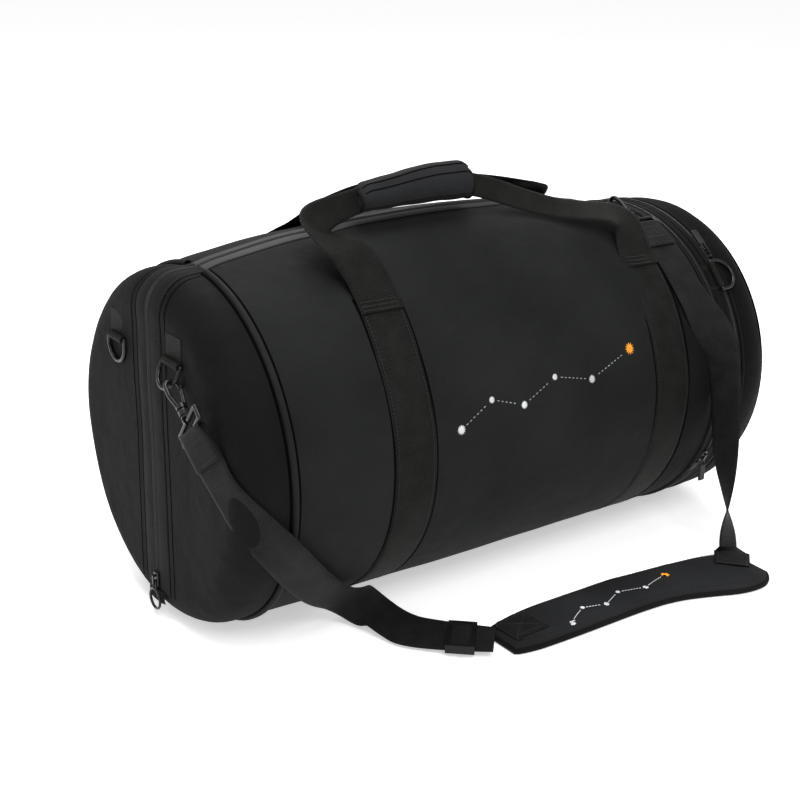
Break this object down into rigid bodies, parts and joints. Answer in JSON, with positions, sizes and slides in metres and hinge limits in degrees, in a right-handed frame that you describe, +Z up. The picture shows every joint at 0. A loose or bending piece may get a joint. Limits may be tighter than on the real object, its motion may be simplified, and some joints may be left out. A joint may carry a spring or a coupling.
{
  "type": "telescope carry case",
  "caption": "Padded cylindrical telescope carry case with zip openings, end pocket, top handles with padded wrap, and a clip-on padded shoulder strap.",
  "frame": {"origin": "on the standing plane, under the middle of the barrel", "axes": "+X along the barrel towards the accessory pocket, -Y the carrying side with the shoulder strap, +Z up"},
  "size_m": [0.6508, 0.4374, 0.396],
  "materials": {
    "nylon": "woven matte",
    "foam": "closed-cell foam",
    "lining": "tricot",
    "piping": "woven matte",
    "webbing": "ribbed webbing",
    "zip_tape": "fine twill",
    "zip_teeth": "satin",
    "padding": "padded woven",
    "garage": "matte",
    "black_metal": "gloss black",
    "pull_plastic": "moulded"
  },
  "bodies": {
    "case": {"front_shell": "nylon", "front_foam": "foam", "front_lining": "lining", "right_ring": "nylon", "left_piping_front": "piping", "right_piping": "piping", "left_front_webbing": "webbing", "right_front_webbing": "webbing", "zip_tape_front": "zip_tape", "zip_teeth_front": "zip_teeth", "main_zip_garage": "garage", "left_front_tab": "webbing", "top_tab": "webbing", "left_strap_loop": "black_metal", "right_strap_loop": "black_metal", "strap_left_run": "webbing", "strap_right_run": "webbing", "shoulder_pad": "padding"},
    "rear_flap": {"rear_shell": "nylon", "rear_foam": "foam", "rear_lining": "lining", "left_piping_rear": "piping", "left_rear_webbing": "webbing", "right_rear_webbing": "webbing", "zip_tape_rear": "zip_tape", "zip_teeth_rear": "zip_teeth", "left_rear_tab": "webbing"},
    "end_cap": {"cap_band": "nylon", "divider_panel": "foam", "cap_zip_track": "zip_teeth", "pocket_zip_track": "zip_teeth", "right_front_tab": "webbing", "ring_zip_garage": "garage"},
    "pocket_lid": {"pocket_lid_shell": "nylon"},
    "front_handle": {"front_handle_webbing": "webbing", "handle_wrap": "padding"},
    "rear_handle": {"rear_handle_webbing": "webbing"},
    "main_zip_slider": {"main_zip_slider": "black_metal"},
    "main_ring_pull": {"main_ring_pull": "black_metal"},
    "ring_zip_slider": {"ring_zip_slider": "black_metal"},
    "ring_zip_pull": {"ring_zip_pull": "pull_plastic"},
    "pocket_zip_slider": {"pocket_zip_slider": "black_metal"},
    "pocket_zip_pull": {"pocket_zip_pull": "pull_plastic"},
    "left_front_d_ring": {"left_front_d_ring": "black_metal"},
    "left_rear_d_ring": {"left_rear_d_ring": "black_metal"},
    "right_front_d_ring": {"right_front_d_ring": "black_metal"},
    "top_d_ring": {"top_d_ring": "black_metal"},
    "left_snap_hook": {"left_snap_hook": "black_metal"},
    "left_hook_gate": {"left_hook_gate": "black_metal"},
    "right_snap_hook": {"right_snap_hook": "black_metal"},
    "right_hook_gate": {"right_hook_gate": "black_metal"},
    "slide_adjuster": {"slide_adjuster": "black_metal"}
  },
  "joints": [
    {"name": "rear_flap_opening", "type": "hinge", "parent": "case", "child": "rear_flap", "pos_m": [0, 0.1115, 0.045], "axis": [-1, 0, 0], "range_deg": [0, 78]},
    {"name": "end_cap_opening", "type": "hinge", "parent": "case", "child": "end_cap", "pos_m": [0.252, 0.1615, 0.1595], "axis": [0, 0, 1], "range_deg": [0, 62]},
    {"name": "pocket_lid_opening", "type": "hinge", "parent": "end_cap", "child": "pocket_lid", "pos_m": [0.2837, 0.1615, 0.1595], "axis": [0, 0, 1], "range_deg": [0, 60]},
    {"name": "front_handle_swing", "type": "hinge", "parent": "case", "child": "front_handle", "pos_m": [0, -0.1092, 0.2808], "axis": [1, 0, 0], "range_deg": [0, 55]},
    {"name": "rear_handle_swing", "type": "hinge", "parent": "rear_flap", "child": "rear_handle", "pos_m": [0, 0.1092, 0.2808], "axis": [-1, 0, 0], "range_deg": [0, 55]},
    {"name": "main_zip_travel", "type": "slide", "parent": "case", "child": "main_zip_slider", "axis": [0, 0, 1], "range_m": [0, 0.2]},
    {"name": "main_ring_pull_swing", "type": "hinge", "parent": "main_zip_slider", "child": "main_ring_pull", "pos_m": [-0.2999, 0, 0.0342], "axis": [0, 1, 0], "range_deg": [0, 150]},
    {"name": "ring_zip_travel", "type": "hinge", "parent": "case", "child": "ring_zip_slider", "pos_m": [0.2562, 0, 0.1595], "axis": [1, 0, 0], "range_deg": [-230, 0]},
    {"name": "pocket_zip_travel", "type": "hinge", "parent": "end_cap", "child": "pocket_zip_slider", "pos_m": [0.2806, 0, 0.1595], "axis": [1, 0, 0], "range_deg": [-150, 0]},
    {"name": "ring_zip_pull_swing", "type": "hinge", "parent": "ring_zip_slider", "child": "ring_zip_pull", "pos_m": [0.2562, -0.14484, 0.08045], "axis": [1, 0, 0], "range_deg": [-110, 5]},
    {"name": "pocket_zip_pull_swing", "type": "hinge", "parent": "pocket_zip_slider", "child": "pocket_zip_pull", "pos_m": [0.2806, -0.10017, 0.29063], "axis": [1, 0, 0], "range_deg": [0, 150]},
    {"name": "left_front_d_ring_swing", "type": "hinge", "parent": "case", "child": "left_front_d_ring", "pos_m": [-0.2974, -0.046, 0.256], "axis": [0, 1, 0], "range_deg": [-2, 2]},
    {"name": "left_rear_d_ring_swing", "type": "hinge", "parent": "rear_flap", "child": "left_rear_d_ring", "pos_m": [-0.2974, 0.062, 0.25], "axis": [0, 1, 0], "range_deg": [0, 150]},
    {"name": "right_front_d_ring_swing", "type": "hinge", "parent": "end_cap", "child": "right_front_d_ring", "pos_m": [0.276, -0.12143, 0.26884], "axis": [0, -0.6691, -0.7431], "range_deg": [0, 150]},
    {"name": "top_d_ring_swing", "type": "hinge", "parent": "case", "child": "top_d_ring", "pos_m": [0.227, 0.00571, 0.323], "axis": [1, 0, 0], "range_deg": [-1.5, 1.5]},
    {"name": "left_hook_swivel", "type": "hinge", "parent": "case", "child": "left_snap_hook", "pos_m": [-0.30409, -0.06032, 0.24073], "axis": [-0.0499, -0.799, -0.5993], "range_deg": [-8, 8]},
    {"name": "right_hook_swivel", "type": "hinge", "parent": "case", "child": "right_snap_hook", "pos_m": [0.227, -0.0174, 0.32793], "axis": [0, -0.953, -0.303], "range_deg": [-8, 8]},
    {"name": "left_gate_opening", "type": "hinge", "parent": "left_snap_hook", "child": "left_hook_gate", "pos_m": [-0.30082, -0.07535, 0.22946], "axis": [0, -0.6, 0.8], "range_deg": [0, 12], "stiffness_Nm_per_rad": 0.02, "springref_deg": -5.73},
    {"name": "right_gate_opening", "type": "hinge", "parent": "right_snap_hook", "child": "right_hook_gate", "pos_m": [0.227, -0.03385, 0.31829], "axis": [1, 0, 0], "range_deg": [0, 12], "stiffness_Nm_per_rad": 0.02, "springref_deg": -5.73},
    {"name": "adjuster_travel", "type": "slide", "parent": "case", "child": "slide_adjuster", "axis": [0.749, -0.6626, 0], "range_m": [0, 0.008]}
  ]
}
